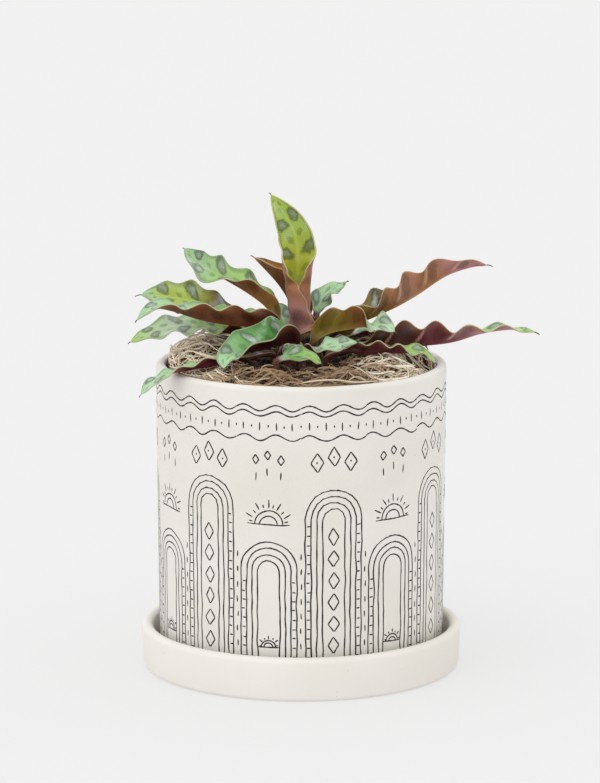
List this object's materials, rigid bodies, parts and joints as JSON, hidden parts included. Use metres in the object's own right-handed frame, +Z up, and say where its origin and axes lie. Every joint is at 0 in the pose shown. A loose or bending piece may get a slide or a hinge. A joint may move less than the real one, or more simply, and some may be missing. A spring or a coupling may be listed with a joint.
{
  "type": "potted rattlesnake plant",
  "caption": "Patterned prayer plant with long wavy leaves in a straight round ceramic planter, dressed with dried moss and standing on a matching saucer.",
  "frame": {"origin": "centre of the saucer's flat underside", "axes": "+Z up, -Y towards the decorated front, +X to the right as seen from the front"},
  "size_m": [0.1753, 0.1517, 0.2094],
  "materials": {
    "saucer_ceramic": "satin off-white glaze",
    "planter_ceramic": "satin off-white glaze with thin black line decoration",
    "soil": "moist potting mix",
    "moss": "dried tan moss fibres",
    "leaf": "light green with dark green blotches above, maroon below"
  },
  "bodies": {
    "root": {"saucer": "saucer_ceramic", "planter": "planter_ceramic", "soil": "soil", "moss": "moss", "leaf_upright_rolled": "leaf", "leaf_folded_back": "leaf", "leaf_high_left": "leaf", "leaf_long_left": "leaf", "leaf_middle_left": "leaf", "leaf_low_left": "leaf", "leaf_front_left": "leaf", "leaf_over_rim_left": "leaf", "leaf_front_small": "leaf", "leaf_front_arched": "leaf", "leaf_back_right_small": "leaf", "leaf_high_right": "leaf", "leaf_middle_right": "leaf", "leaf_long_right": "leaf", "leaf_low_right": "leaf", "leaf_back_small": "leaf", "leaf_back_left_small": "leaf", "leaf_front_tiny": "leaf", "leaf_back": "leaf", "leaf_back_right": "leaf", "leaf_back_left": "leaf", "leaf_back_low": "leaf"}
  },
  "joints": []
}
